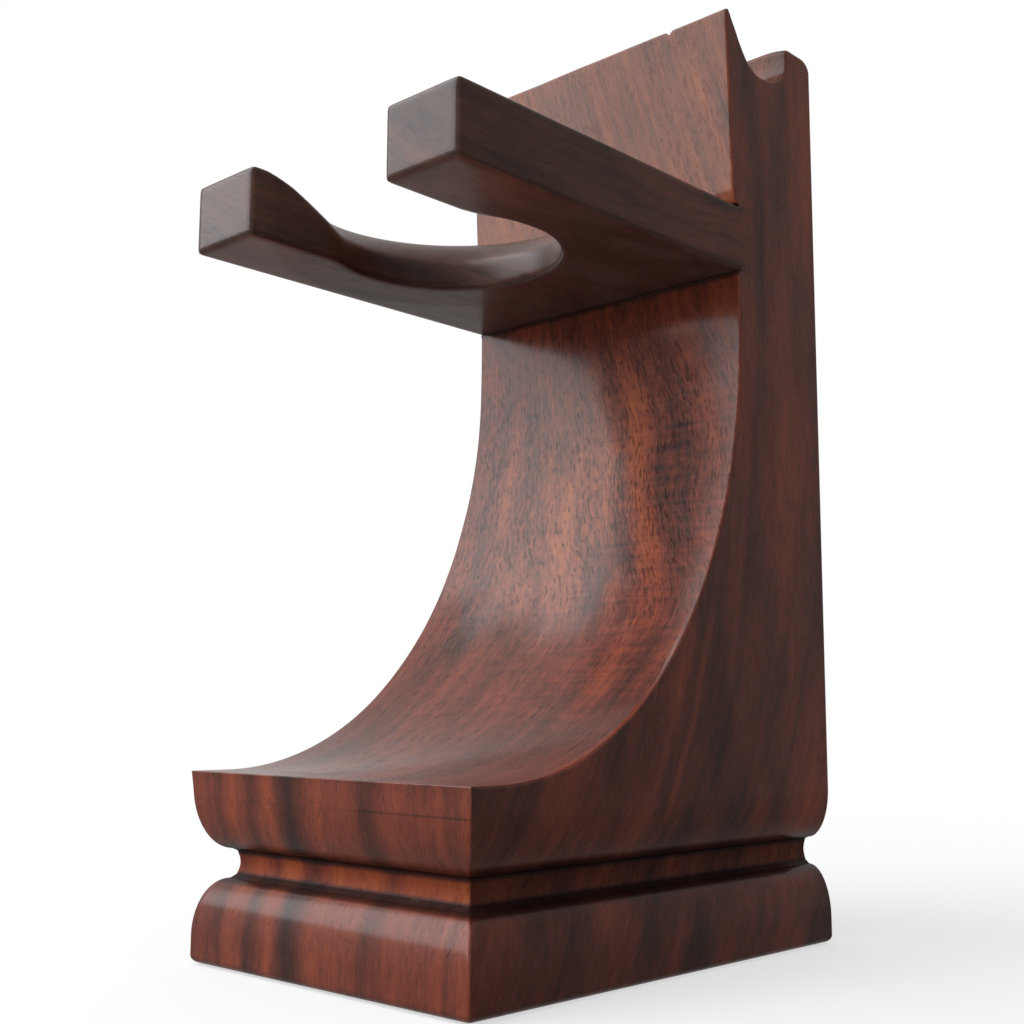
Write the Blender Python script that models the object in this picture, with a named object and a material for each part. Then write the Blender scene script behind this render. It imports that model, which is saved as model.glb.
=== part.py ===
"""Wooden desk stand with a forked bracket and a rest groove.

One solid block forms the moulded base and the swept column.  A forked board
is let into a housing across the front of the column, flush with its sides,
and held by two hidden dowels.

Frame: X is the width, -Y is the front (the fork side), +Z is up.  The origin
is the centre of the overall footprint, on the ground.  Units are metres.
"""

import math

import bmesh
import bpy

MM = 0.001
GAP = 0.3 * MM

# Overall block
WIDTH = 50.0 * MM
BACK_Y = 37.2 * MM
BASE_FRONT_Y = -34.2 * MM
BASE_HEIGHT = 23.8 * MM
HEIGHT = 130.0 * MM
EDGE_EASE = 0.5 * MM

# Moulding that runs round the front and both sides of the base
MOULD_TOP_Z = 21.0 * MM
OVOLO_BOTTOM_Z = 14.1 * MM
OVOLO_DEPTH = 3.4 * MM
COVE_EDGE_DEPTH = 3.9 * MM
COVE_DEPTH = 4.4 * MM
COVE_TOP_Z = 13.8 * MM
COVE_BOTTOM_Z = 10.9 * MM
TORUS_TOP_Z = 10.4 * MM
TORUS_FLAT_Z = 3.4 * MM
TORUS_DEPTH = 3.3 * MM
FOOT_ROUND = 1.0 * MM
MOULD_STEPS = 9

# Swept front of the column: a quarter ellipse from the base to the fork seat
SEAT_Y = 17.2 * MM
SWEEP_CENTRE_Y = -29.5 * MM
SWEEP_CENTRE_Z = 84.0 * MM
SWEEP_STEPS = 36

# Upper front face and the front lip of the groove
UPPER_FACE_BOTTOM_Y = 16.1 * MM
UPPER_FACE_BOTTOM_Z = 104.4 * MM
UPPER_FACE_TOP_Y = 15.1 * MM
LIP_ROUND = 0.6 * MM

# Rest groove across the top of the column: y and z in millimetres of points
# down its slanted front wall, along its bottom and up its rear wall
GROOVE_CURVE = (
    (16.6, 128.7),
    (17.5, 127.2),
    (18.6, 125.5),
    (19.9, 123.9),
    (21.3, 122.8),
    (23.0, 122.25),
    (25.0, 122.3),
    (27.0, 122.8),
    (28.9, 123.8),
    (30.1, 125.3),
    (30.6, 127.2),
    (30.6, 128.9),
)
GROOVE_STEPS = 2
GROOVE_REAR_Y = 30.6 * MM
REAR_LIP_Z = 129.8 * MM
REAR_LIP_INNER_ROUND = 0.9 * MM
REAR_LIP_OUTER_ROUND = 2.2 * MM

# Fork board
FORK_TIP_Y = -37.2 * MM
FORK_BOTTOM_Z = 91.7 * MM
FORK_TOP_Z = 101.2 * MM
SLOT_WIDTH = 25.6 * MM
EYE_Y = -14.5 * MM
EYE_RADIUS = 15.1 * MM
DISH_RADIUS = 24.1 * MM
DISH_CREASE_Z = 95.6 * MM
DISH_ARC_RADIUS = 15.0 * MM
FORK_EASE = 0.7 * MM

# Housing across the column that the fork board is glued into
HOUSING_DEPTH = 6.0 * MM
CHEEK_GAP = 0.1 * MM
FORK_REAR_Y = SEAT_Y + HOUSING_DEPTH - GAP

# Hidden dowels
DOWEL_RADIUS = 3.0 * MM
DOWEL_SPACING = 30.0 * MM
DOWEL_FRONT_Y = 7.2 * MM
DOWEL_REAR_Y = 31.2 * MM
DOWEL_Z = (FORK_BOTTOM_Z + FORK_TOP_Z) / 2
DOWEL_CHAMFER = 0.6 * MM


def clear_scene():
    """Start from an empty scene."""
    for old in list(bpy.data.objects):
        bpy.data.objects.remove(old, do_unlink=True)


def make_material(name, colour, roughness):
    """Principled wood finish with one colour."""
    material = bpy.data.materials.new(name)
    material.use_nodes = True
    shader = material.node_tree.nodes["Principled BSDF"]
    shader.inputs["Base Color"].default_value = (*colour, 1.0)
    shader.inputs["Roughness"].default_value = roughness
    shader.inputs["Metallic"].default_value = 0.0
    return material


def block_material():
    """Dark reddish hardwood of the block, satin oiled."""
    return make_material("rosewood_block", (0.160, 0.055, 0.035), 0.34)


def fork_material():
    """Slightly browner board of the same hardwood."""
    return make_material("rosewood_fork", (0.120, 0.050, 0.036), 0.32)


def dowel_material():
    """Pale dry beech of the dowels."""
    return make_material("beech_dowel", (0.560, 0.380, 0.220), 0.60)


def link_object(name, mesh, material):
    """Put a mesh in the scene as one named part."""
    part = bpy.data.objects.new(name, mesh)
    part.data.materials.append(material)
    bpy.context.scene.collection.objects.link(part)
    return part


def mesh_from_bmesh(name, bm):
    """Finish a bmesh: outward normals, then a mesh data-block."""
    bmesh.ops.recalc_face_normals(bm, faces=bm.faces)
    mesh = bpy.data.meshes.new(name)
    bm.to_mesh(mesh)
    bm.free()
    return mesh


def arc(centre, radius_a, radius_b, start, stop, steps):
    """Points on an ellipse arc between two angles in degrees, ends included."""
    points = []
    for i in range(steps + 1):
        angle = math.radians(start + (stop - start) * i / steps)
        a = centre[0] + radius_a * math.cos(angle)
        b = centre[1] + radius_b * math.sin(angle)
        points.append((a, b))
    return points


def smooth_curve(points, steps):
    """Smooth curve through all the given points."""
    last = len(points) - 1
    curve = [points[0]]
    for i in range(last):
        p0, p1 = points[max(i - 1, 0)], points[i]
        p2, p3 = points[i + 1], points[min(i + 2, last)]
        for k in range(1, steps + 1):
            t = k / steps
            curve.append(tuple(
                0.5 * (2 * b + (c - a) * t + (2 * a - 5 * b + 4 * c - d) * t * t
                       + (3 * b - a - 3 * c + d) * t * t * t)
                for a, b, c, d in zip(p0, p1, p2, p3)
            ))
    return curve


def foot_round_profile():
    """Depth and height along the rounded bottom edge."""
    centre = (FOOT_ROUND, FOOT_ROUND)
    return arc(centre, FOOT_ROUND, FOOT_ROUND, 270, 180, 4)


def moulding_profile():
    """Depth and height up the moulding, above the foot rounding."""
    torus_height = TORUS_TOP_Z - TORUS_FLAT_Z
    torus_centre = (TORUS_DEPTH, TORUS_FLAT_Z)
    profile = arc(torus_centre, TORUS_DEPTH, torus_height, 180, 90, MOULD_STEPS)

    cove_half = (COVE_TOP_Z - COVE_BOTTOM_Z) / 2
    cove_centre = (COVE_EDGE_DEPTH, COVE_BOTTOM_Z + cove_half)
    bulge = COVE_DEPTH - COVE_EDGE_DEPTH
    profile += arc(cove_centre, bulge, cove_half, -90, 90, 6)

    ovolo_height = MOULD_TOP_Z - OVOLO_BOTTOM_Z
    ovolo_centre = (OVOLO_DEPTH, MOULD_TOP_Z)
    profile += arc(ovolo_centre, OVOLO_DEPTH, ovolo_height, 270, 180, MOULD_STEPS)
    return profile


def groove_profile():
    """Column top from the front lip, round the groove, to the rear lip."""
    lip_centre = (UPPER_FACE_TOP_Y + LIP_ROUND, HEIGHT - LIP_ROUND)
    points = arc(lip_centre, LIP_ROUND, LIP_ROUND, 180, 20, 5)

    groove = smooth_curve(GROOVE_CURVE, GROOVE_STEPS)
    points += [(y * MM, z * MM) for y, z in groove[:-1]]

    inner_centre_y = GROOVE_REAR_Y + REAR_LIP_INNER_ROUND
    inner_centre = (inner_centre_y, REAR_LIP_Z - REAR_LIP_INNER_ROUND)
    inner = REAR_LIP_INNER_ROUND
    points += arc(inner_centre, inner, inner, 180, 90, 4)

    outer = REAR_LIP_OUTER_ROUND
    outer_centre = (BACK_Y - outer, REAR_LIP_Z - outer)
    points += arc(outer_centre, outer, outer, 90, 0, 6)
    return points


def sweep_profile():
    """Front of the column from the base edge up to the fork seat."""
    reach = SEAT_Y - SWEEP_CENTRE_Y
    drop = SWEEP_CENTRE_Z - BASE_HEIGHT
    centre = (SWEEP_CENTRE_Y, SWEEP_CENTRE_Z)
    return arc(centre, reach, drop, 270, 360, SWEEP_STEPS)


def upper_face_profile():
    """Front face above the fork, with a small hollow at its foot."""
    hollow_y = SEAT_Y - UPPER_FACE_BOTTOM_Y
    hollow_z = UPPER_FACE_BOTTOM_Z - FORK_TOP_Z - CHEEK_GAP
    centre = (SEAT_Y, UPPER_FACE_BOTTOM_Z)
    return arc(centre, hollow_y, hollow_z, 270, 180, 5)


def housing_profile():
    """Square-cut housing for the fork: the lower cheek, then the upper one."""
    bottom = SEAT_Y + HOUSING_DEPTH
    lower = FORK_BOTTOM_Z - CHEEK_GAP
    upper = FORK_TOP_Z + CHEEK_GAP
    return [(SEAT_Y, lower), (bottom, lower), (bottom, upper)]


def column_outline():
    """Side outline above the moulding, from the front edge to the back."""
    outline = [(BASE_FRONT_Y, MOULD_TOP_Z)]
    outline.append((BASE_FRONT_Y, BASE_HEIGHT))
    outline += sweep_profile()
    outline += housing_profile()
    outline += upper_face_profile()
    outline += groove_profile()
    outline.append((BACK_Y, MOULD_TOP_Z))
    return outline


def add_ring(bm, depth, height, back_depth):
    """Four corners of one level of the moulded base."""
    half = WIDTH / 2 - depth
    front = BASE_FRONT_Y + depth
    back = BACK_Y - back_depth
    corners = [(-half, front), (half, front), (half, back), (-half, back)]
    return [bm.verts.new((x, y, height)) for x, y in corners]


def mark_eased_edges(bm):
    """Weight the sharp outer edges for easing, but not those of the housing."""
    layer = bm.edges.layers.float.new("bevel_weight_edge")
    low = FORK_BOTTOM_Z - 2 * CHEEK_GAP
    high = FORK_TOP_Z + 2 * CHEEK_GAP
    bm.normal_update()
    for edge in bm.edges:
        in_housing = all(low < vert.co.z < high for vert in edge.verts)
        sharp = edge.calc_face_angle(0.0) > math.radians(60)
        edge[layer] = 1.0 if sharp and not in_housing else 0.0


def build_block_mesh():
    """Moulded base and column as one closed surface."""
    bm = bmesh.new()
    rings = []
    for depth, height in foot_round_profile():
        rings.append(add_ring(bm, depth, height, depth))
    for depth, height in moulding_profile()[:-1]:
        rings.append(add_ring(bm, depth, height, 0.0))

    outline = column_outline()
    half = WIDTH / 2
    left = [bm.verts.new((-half, y, z)) for y, z in outline]
    right = [bm.verts.new((half, y, z)) for y, z in outline]
    rings.append([left[0], right[0], right[-1], left[-1]])

    bm.faces.new(list(reversed(rings[0])))
    for lower, upper in zip(rings, rings[1:]):
        for i in range(4):
            j = (i + 1) % 4
            bm.faces.new((lower[i], lower[j], upper[j], upper[i]))

    bm.faces.new(left)
    bm.faces.new(list(reversed(right)))
    for i in range(len(outline) - 1):
        bm.faces.new((left[i], right[i], right[i + 1], left[i + 1]))
    mark_eased_edges(bm)
    return mesh_from_bmesh("block_base_column", bm)


def add_cylinder(name, radius, centre, length):
    """Round bar along Y, used as a dowel-hole cutter."""
    steps = 32
    bm = bmesh.new()
    rings = []
    for y in (centre[1] - length / 2, centre[1] + length / 2):
        ring = []
        for i in range(steps):
            angle = 2 * math.pi * i / steps
            x = centre[0] + radius * math.cos(angle)
            z = centre[2] + radius * math.sin(angle)
            ring.append(bm.verts.new((x, y, z)))
        rings.append(ring)
    for i in range(steps):
        j = (i + 1) % steps
        bm.faces.new((rings[0][i], rings[0][j], rings[1][j], rings[1][i]))
    bm.faces.new(rings[0])
    bm.faces.new(list(reversed(rings[1])))
    cutter = bpy.data.objects.new(name, mesh_from_bmesh(name, bm))
    bpy.context.scene.collection.objects.link(cutter)
    return mark_cutter(cutter)


def mark_cutter(cutter):
    """Keep a cutting body out of the finished object."""
    cutter.hide_render = True
    cutter.display_type = "WIRE"
    return cutter


def apply_modifiers(part):
    """Bake the modifier stack of a part into its mesh."""
    bpy.context.view_layer.update()
    graph = bpy.context.evaluated_depsgraph_get()
    baked = bpy.data.meshes.new_from_object(part.evaluated_get(graph))
    part.modifiers.clear()
    part.data = baked


def cut(part, cutters):
    """Subtract each cutter from a part, then delete the cutters."""
    for cutter in cutters:
        modifier = part.modifiers.new("cut", "BOOLEAN")
        modifier.operation = "DIFFERENCE"
        modifier.solver = "EXACT"
        modifier.object = cutter
    apply_modifiers(part)
    for cutter in cutters:
        bpy.data.objects.remove(cutter, do_unlink=True)


def dowel_hole_cutter(x, deep_into_block):
    """Blind hole cutter for one dowel, in the block or in the fork."""
    radius = DOWEL_RADIUS + GAP
    if deep_into_block:
        start = FORK_REAR_Y - 2 * MM
        stop = DOWEL_REAR_Y + GAP
    else:
        start = DOWEL_FRONT_Y - GAP
        stop = FORK_REAR_Y + 2 * MM
    centre = (x, (start + stop) / 2, DOWEL_Z)
    return add_cylinder("dowel_hole", radius, centre, stop - start)


def ease_edges(part, width):
    """Round the weighted edges of a part with a narrow bevel."""
    bevel = part.modifiers.new("ease", "BEVEL")
    bevel.width = width
    bevel.segments = 2
    bevel.limit_method = "WEIGHT"
    bevel.use_clamp_overlap = True
    apply_modifiers(part)


def smooth_shade(part, angle):
    """Smooth the round faces and keep edges sharper than the angle crisp."""
    mesh = part.data
    for polygon in mesh.polygons:
        polygon.use_smooth = True
    mesh.set_sharp_from_angle(angle=math.radians(angle))


def build_block(material):
    """The one-piece base and column."""
    part = link_object("base_column_block", build_block_mesh(), material)
    ease_edges(part, EDGE_EASE)
    half = DOWEL_SPACING / 2
    cut(part, [dowel_hole_cutter(-half, True), dowel_hole_cutter(half, True)])
    smooth_shade(part, 30)
    return part


def box_mesh(name, low, high):
    """Closed box between two corners."""
    bm = bmesh.new()
    bmesh.ops.create_cube(bm, size=1.0)
    for vert in bm.verts:
        for axis in range(3):
            centre = (low[axis] + high[axis]) / 2
            vert.co[axis] = centre + vert.co[axis] * (high[axis] - low[axis])
    return mesh_from_bmesh(name, bm)


def build_slot_cutter():
    """Straight slot from the fork's tip back into the round eye."""
    half = SLOT_WIDTH / 2
    low = (-half, FORK_TIP_Y - 2 * MM, FORK_BOTTOM_Z - 2 * MM)
    high = (half, EYE_Y, FORK_TOP_Z + 2 * MM)
    cutter = bpy.data.objects.new("slot_cutter", box_mesh("slot_cutter", low, high))
    bpy.context.scene.collection.objects.link(cutter)
    return mark_cutter(cutter)


def dish_profile():
    """Radius and height of the countersunk seat, from the eye to the rim."""
    run = DISH_RADIUS - EYE_RADIUS
    rise = FORK_TOP_Z - DISH_CREASE_Z
    chord = math.hypot(run, rise)
    reach = math.sqrt(DISH_ARC_RADIUS ** 2 - (chord / 2) ** 2)
    mid_r = (DISH_RADIUS + EYE_RADIUS) / 2
    mid_z = (FORK_TOP_Z + DISH_CREASE_Z) / 2
    centre = (mid_r + reach * rise / chord, mid_z - reach * run / chord)
    first = math.degrees(math.atan2(DISH_CREASE_Z - centre[1], EYE_RADIUS - centre[0]))
    last = math.degrees(math.atan2(FORK_TOP_Z - centre[1], DISH_RADIUS - centre[0]))
    return arc(centre, DISH_ARC_RADIUS, DISH_ARC_RADIUS, first, last, 7)


def build_eye_cutter():
    """Turned cutter for the round eye and the dished seat above it."""
    rows = [(EYE_RADIUS, FORK_BOTTOM_Z - 2 * MM)]
    rows += dish_profile()
    rows.append((DISH_RADIUS + 2 * MM, FORK_TOP_Z + 2 * MM))
    steps = 80
    bm = bmesh.new()
    rings = []
    for radius, height in rows:
        ring = []
        for i in range(steps):
            angle = 2 * math.pi * i / steps
            x = radius * math.cos(angle)
            y = EYE_Y + radius * math.sin(angle)
            ring.append(bm.verts.new((x, y, height)))
        rings.append(ring)
    for lower, upper in zip(rings, rings[1:]):
        for i in range(steps):
            j = (i + 1) % steps
            bm.faces.new((lower[i], lower[j], upper[j], upper[i]))
    bm.faces.new(list(reversed(rings[0])))
    bm.faces.new(rings[-1])
    cutter = bpy.data.objects.new("eye_cutter", mesh_from_bmesh("eye_cutter", bm))
    bpy.context.scene.collection.objects.link(cutter)
    return mark_cutter(cutter)


def board_ring(bm, y, inset, radius):
    """Section of the board: three points round each of its four corners."""
    half = WIDTH / 2 - inset
    low = FORK_BOTTOM_Z + inset
    high = FORK_TOP_Z - inset
    short = radius * (1 - math.sqrt(0.5))
    ring = []
    for x_side, z, z_step in ((1, low, 1), (1, high, -1), (-1, high, -1), (-1, low, 1)):
        corner = [(0.0, radius), (short, short), (radius, 0.0)]
        if x_side * z_step > 0:
            corner.reverse()
        for dx, dz in corner:
            ring.append(bm.verts.new((x_side * (half - dx), y, z + z_step * dz)))
    return ring


def join_rings(bm, first, second):
    """Skin two rings of the board, skipping the edges they share."""
    count = len(first)
    for i in range(count):
        j = (i + 1) % count
        face = [first[i], first[j], second[j], second[i]]
        face = list(dict.fromkeys(face))
        if len(face) > 2:
            bm.faces.new(face)


def board_mesh():
    """Board with eased edges in front, and a square tongue in the housing."""
    bm = bmesh.new()
    ease = FORK_EASE
    part_way = 1 - math.sqrt(0.5)
    rings = [board_ring(bm, FORK_TIP_Y, ease, ease * 0.2)]
    inset = ease * part_way
    rings.append(board_ring(bm, FORK_TIP_Y + inset, inset, ease - inset))
    rings.append(board_ring(bm, FORK_TIP_Y + ease, 0.0, ease))
    rings.append(board_ring(bm, SEAT_Y, 0.0, ease))
    shoulder = list(rings[-1])
    for i in range(1, len(shoulder), 3):
        x = math.copysign(WIDTH / 2, shoulder[i].co.x)
        z = FORK_TOP_Z if shoulder[i].co.z > DOWEL_Z else FORK_BOTTOM_Z
        shoulder[i] = bm.verts.new((x, SEAT_Y, z))
    rings.append(shoulder)
    rings.append([bm.verts.new((v.co.x, FORK_REAR_Y, v.co.z)) for v in shoulder])
    bm.faces.new(rings[0])
    bm.faces.new(list(reversed(rings[-1])))
    for first, second in zip(rings, rings[1:]):
        join_rings(bm, first, second)
    return mesh_from_bmesh("fork_bracket", bm)


def build_fork(material):
    """Forked board with a slot, a round eye and a dished seat."""
    part = link_object("fork_bracket", board_mesh(), material)
    half = DOWEL_SPACING / 2
    cutters = [build_slot_cutter(), build_eye_cutter()]
    cutters.append(dowel_hole_cutter(-half, False))
    cutters.append(dowel_hole_cutter(half, False))
    cut(part, cutters)
    smooth_shade(part, 30)
    return part


def build_dowel(name, x, material):
    """Plain round dowel with a small chamfer at each end."""
    start = DOWEL_FRONT_Y
    stop = DOWEL_REAR_Y
    inner = DOWEL_RADIUS - DOWEL_CHAMFER
    stations = [(inner, start), (DOWEL_RADIUS, start + DOWEL_CHAMFER)]
    stations += [(DOWEL_RADIUS, stop - DOWEL_CHAMFER), (inner, stop)]
    steps = 32
    bm = bmesh.new()
    rings = []
    for radius, y in stations:
        ring = []
        for i in range(steps):
            angle = 2 * math.pi * i / steps
            px = x + radius * math.cos(angle)
            pz = DOWEL_Z + radius * math.sin(angle)
            ring.append(bm.verts.new((px, y, pz)))
        rings.append(ring)
    for near, far in zip(rings, rings[1:]):
        for i in range(steps):
            j = (i + 1) % steps
            bm.faces.new((near[i], near[j], far[j], far[i]))
    bm.faces.new(rings[0])
    bm.faces.new(list(reversed(rings[-1])))
    part = link_object(name, mesh_from_bmesh(name, bm), material)
    smooth_shade(part, 30)
    return part


def main():
    """Build the whole stand."""
    clear_scene()
    build_block(block_material())
    build_fork(fork_material())
    dowel_finish = dowel_material()
    build_dowel("dowel_left", -DOWEL_SPACING / 2, dowel_finish)
    build_dowel("dowel_right", DOWEL_SPACING / 2, dowel_finish)


main()
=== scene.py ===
"""Scene of the wooden desk stand with the forked bracket.

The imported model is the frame.  The block and the fork are rebuilt at full
detail in the same places, every piece gets a solid procedural wood, and the
stand is set on a pale floor in soft light from the front left.
"""

import math

import bmesh
import bpy
from mathutils import Matrix, Vector, noise


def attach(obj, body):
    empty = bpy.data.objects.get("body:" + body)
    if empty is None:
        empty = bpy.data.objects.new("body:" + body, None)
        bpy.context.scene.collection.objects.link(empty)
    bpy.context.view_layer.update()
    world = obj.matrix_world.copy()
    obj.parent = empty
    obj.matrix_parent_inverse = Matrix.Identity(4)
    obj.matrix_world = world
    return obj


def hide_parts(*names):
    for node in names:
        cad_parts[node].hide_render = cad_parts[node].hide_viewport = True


MM = 0.001

# Measures of the stand, in millimetres, in the row frame
HALF_WIDTH = 25.0
BACK_Y = 37.2
BASE_FRONT_Y = -34.2
BASE_HEIGHT = 23.8
MOULD_TOP_Z = 21.0
FOOT_ROUND = 1.0
TORUS_DEPTH = 3.3
TORUS_FLAT_Z = 3.4
TORUS_HEIGHT = 7.0
COVE_DEPTH = 3.9
COVE_BULGE = 0.3
COVE_BOTTOM_Z = 10.9
COVE_HEIGHT = 2.9
OVOLO_DEPTH = 3.4
OVOLO_HEIGHT = 6.9
SEAT_Y = 17.2
SWEEP_CENTRE = (-29.5, 84.0)
FORK_TIP_Y = -37.2
FORK_BOTTOM_Z = 91.7
FORK_TOP_Z = 101.2
HOUSING_Y = 23.2
CHEEK_GAP = 0.03
TONGUE_GAP = 0.04
UPPER_FACE_FOOT = (16.1, 104.4)
UPPER_FACE_TOP_Y = 15.1
FRONT_LIP_Z = 129.6
FRONT_LIP_ROUND = 0.42
FRONT_LIP_SHOULDER = (16.25, 129.0)
REAR_LIP_Z = 129.8
REAR_LIP_INNER_ROUND = 0.9
REAR_LIP_OUTER_ROUND = 2.2
SLOT_HALF = 12.8
EYE_Y = -14.5
EYE_RADIUS = 15.1
DISH_RADIUS = 24.1
DISH_CREASE_Z = 95.6
DISH_ARC_RADIUS = 15.0

# Rest groove: y and z down its front wall, along its bottom, up its rear wall
GROOVE_CURVE = [
    (16.6, 128.5), (17.5, 127.2), (18.6, 125.5), (19.9, 123.9),
    (21.3, 122.8), (23.0, 122.25), (25.0, 122.3), (27.0, 122.8),
    (28.9, 123.8), (30.1, 125.3), (30.6, 127.2), (30.6, 128.9),
]

# Easing of the block's side edges
SIDE_EASE = 0.42
EASE_STEPS = 5
FRONT_EASE = 0.16

# Small marks of handwork: a chip in the front lip, a front edge that leans
# out, rounded ends of the ridge behind the groove, and uneven sanding
NICK_X = 14.9
NICK_DEPTH = 0.55
NICK_SPREAD = 0.42
NICK_REACH = (16.2, 1.3)
FLARE = 0.75
FLARE_LEFTWARD = 0.42
FLARE_Y = -30.0
FLARE_RUN = 3.0
FLARE_BOTTOM_Z = 16.0
RIDGE_DROOP = 0.65
RIDGE_END = 4.0
RIDGE_Y = 28.5
RIDGE_BOTTOM_Z = 122.0
SANDED_Y = 20.0
SANDED_BOTTOM_Z = BASE_HEIGHT + 0.5
SANDED_FADE = 8.0
SANDING_WAVE = 0.10
SANDING_RIPPLE = 0.03

# Easing of the fork: size of its surface cells, and rounds of smoothing for
# all of its edges and for the crease in the eye
FORK_CELL = 0.28
EDGE_SOFTENING = 30
EYE_SOFTENING = 70
EYE_SOFT_RADIUS = 20.5
EYE_SOFT_FADE = 3.0
TONGUE_SNAP = 0.4

# Rounding where the slot's walls run into the eye
MOUTH_RADIUS = 12.0


# ---------------------------------------------------------------- geometry

def arc(centre, radius_a, radius_b, start, stop, steps):
    """Points on an ellipse arc between two angles in degrees, ends included."""
    points = []
    for i in range(steps + 1):
        angle = math.radians(start + (stop - start) * i / steps)
        a = centre[0] + radius_a * math.cos(angle)
        b = centre[1] + radius_b * math.sin(angle)
        points.append((a, b))
    return points


def smooth_curve(points, steps):
    """Smooth curve through all the given points."""
    last = len(points) - 1
    curve = [points[0]]
    for i in range(last):
        p0, p1 = points[max(i - 1, 0)], points[i]
        p2, p3 = points[i + 1], points[min(i + 2, last)]
        for k in range(1, steps + 1):
            t = k / steps
            curve.append(tuple(
                0.5 * (2 * b + (c - a) * t + (2 * a - 5 * b + 4 * c - d) * t * t
                       + (3 * b - a - 3 * c + d) * t * t * t)
                for a, b, c, d in zip(p0, p1, p2, p3)
            ))
    return curve


def straight(start, stop, steps):
    """Points between two ends, without the first one."""
    points = []
    for i in range(1, steps + 1):
        t = i / steps
        points.append(tuple(a + (b - a) * t for a, b in zip(start, stop)))
    return points


def moulding_levels():
    """(depth, height, inset of the back face) up the moulded base."""
    foot = arc((FOOT_ROUND, FOOT_ROUND), FOOT_ROUND, FOOT_ROUND, 270, 180, 8)
    levels = [(depth, height, depth) for depth, height in foot]
    torus_centre = (TORUS_DEPTH, TORUS_FLAT_Z)
    profile = arc(torus_centre, TORUS_DEPTH, TORUS_HEIGHT, 180, 90, 26)
    for i in range(13):
        depth = COVE_DEPTH + COVE_BULGE * math.sin(math.pi * i / 12)
        profile.append((depth, COVE_BOTTOM_Z + COVE_HEIGHT * i / 12))
    ovolo_centre = (OVOLO_DEPTH, MOULD_TOP_Z)
    profile += arc(ovolo_centre, OVOLO_DEPTH, OVOLO_HEIGHT, 270, 180, 26)
    levels += [(depth, height, 0.0) for depth, height in profile[:-1]]
    return levels


def column_outline():
    """Side outline above the moulding as (y, z, share of the side easing)."""
    outline = []

    def add(points, ease=1.0):
        """Append points that share one value of the easing."""
        outline.extend((y, z, ease) for y, z in points)

    add([(BASE_FRONT_Y, MOULD_TOP_Z)])
    corner = (BASE_FRONT_Y + FRONT_EASE, BASE_HEIGHT - FRONT_EASE)
    add(arc(corner, FRONT_EASE, FRONT_EASE, 180, 90, 4), 0.25)
    add(straight((corner[0], BASE_HEIGHT), (SWEEP_CENTRE[0], BASE_HEIGHT), 5))
    reach = SEAT_Y - SWEEP_CENTRE[0]
    drop = SWEEP_CENTRE[1] - BASE_HEIGHT
    add(arc(SWEEP_CENTRE, reach, drop, 270, 360, 120)[1:])
    low = FORK_BOTTOM_Z - CHEEK_GAP
    high = FORK_TOP_Z + CHEEK_GAP
    add(straight((SEAT_Y, SWEEP_CENTRE[1]), (SEAT_Y, low - 0.6), 6))
    add([(SEAT_Y, low - 0.25)], 0.6)
    add([(SEAT_Y, low), (HOUSING_Y, low), (HOUSING_Y, high), (SEAT_Y, high)], 0.0)
    foot_y, foot_z = UPPER_FACE_FOOT
    hollow = arc((SEAT_Y, foot_z), SEAT_Y - foot_y, foot_z - high, 270, 180, 14)
    add(hollow[1:3], 0.6)
    add(hollow[3:])
    add(straight(UPPER_FACE_FOOT, (UPPER_FACE_TOP_Y, FRONT_LIP_Z - 1.2), 18))
    add([(UPPER_FACE_TOP_Y, FRONT_LIP_Z - 0.8)], 0.7)
    lip = FRONT_LIP_ROUND
    lip_centre = (UPPER_FACE_TOP_Y + lip, FRONT_LIP_Z - lip)
    add(arc(lip_centre, lip, lip, 180, 15, 9), 0.5)
    add([FRONT_LIP_SHOULDER], 0.7)
    add(smooth_curve(GROOVE_CURVE, 5)[:-1])
    inner, outer = REAR_LIP_INNER_ROUND, REAR_LIP_OUTER_ROUND
    inner_centre = (GROOVE_CURVE[-1][0] + inner, REAR_LIP_Z - inner)
    outer_centre = (BACK_Y - outer, REAR_LIP_Z - outer)
    add(arc(inner_centre, inner, inner, 180, 90, 8))
    add(arc(outer_centre, outer, outer, 90, 0, 14))
    add(straight((BACK_Y, outer_centre[1]), (BACK_Y, MOULD_TOP_Z), 24))
    return outline


def inward_normals(outline):
    """Unit mitre vectors that point into the outline."""
    def edge_normal(a, b):
        """Unit normal of one edge, on its inner side."""
        dy, dz = b[0] - a[0], b[1] - a[1]
        length = math.hypot(dy, dz)
        return dz / length, -dy / length

    count = len(outline)
    normals = []
    for i in range(count):
        before = edge_normal(outline[max(i - 1, 0)], outline[max(i, 1)])
        after = edge_normal(outline[min(i, count - 2)], outline[min(i + 1, count - 1)])
        scale = 1.0 + before[0] * after[0] + before[1] * after[1]
        scale = max(scale, 0.5)
        normals.append(((before[0] + after[0]) / scale, (before[1] + after[1]) / scale))
    return normals


def stations():
    """(x, share of the easing) across the width of the block."""
    flat = HALF_WIDTH - SIDE_EASE
    middle = [-24.0 + i for i in range(49)]
    middle += [NICK_X + step for step in (-0.7, -0.45, -0.25, 0.0, 0.25, 0.45, 0.7)]
    middle = sorted(set(round(x, 3) for x in middle))
    side = []
    for i in range(EASE_STEPS + 1):
        angle = math.pi / 2 * i / EASE_STEPS
        side.append((flat + SIDE_EASE * math.sin(angle), 1.0 - math.cos(angle)))
    left = [(-x, share) for x, share in reversed(side)]
    return left + [(x, 0.0) for x in middle] + side


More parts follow.
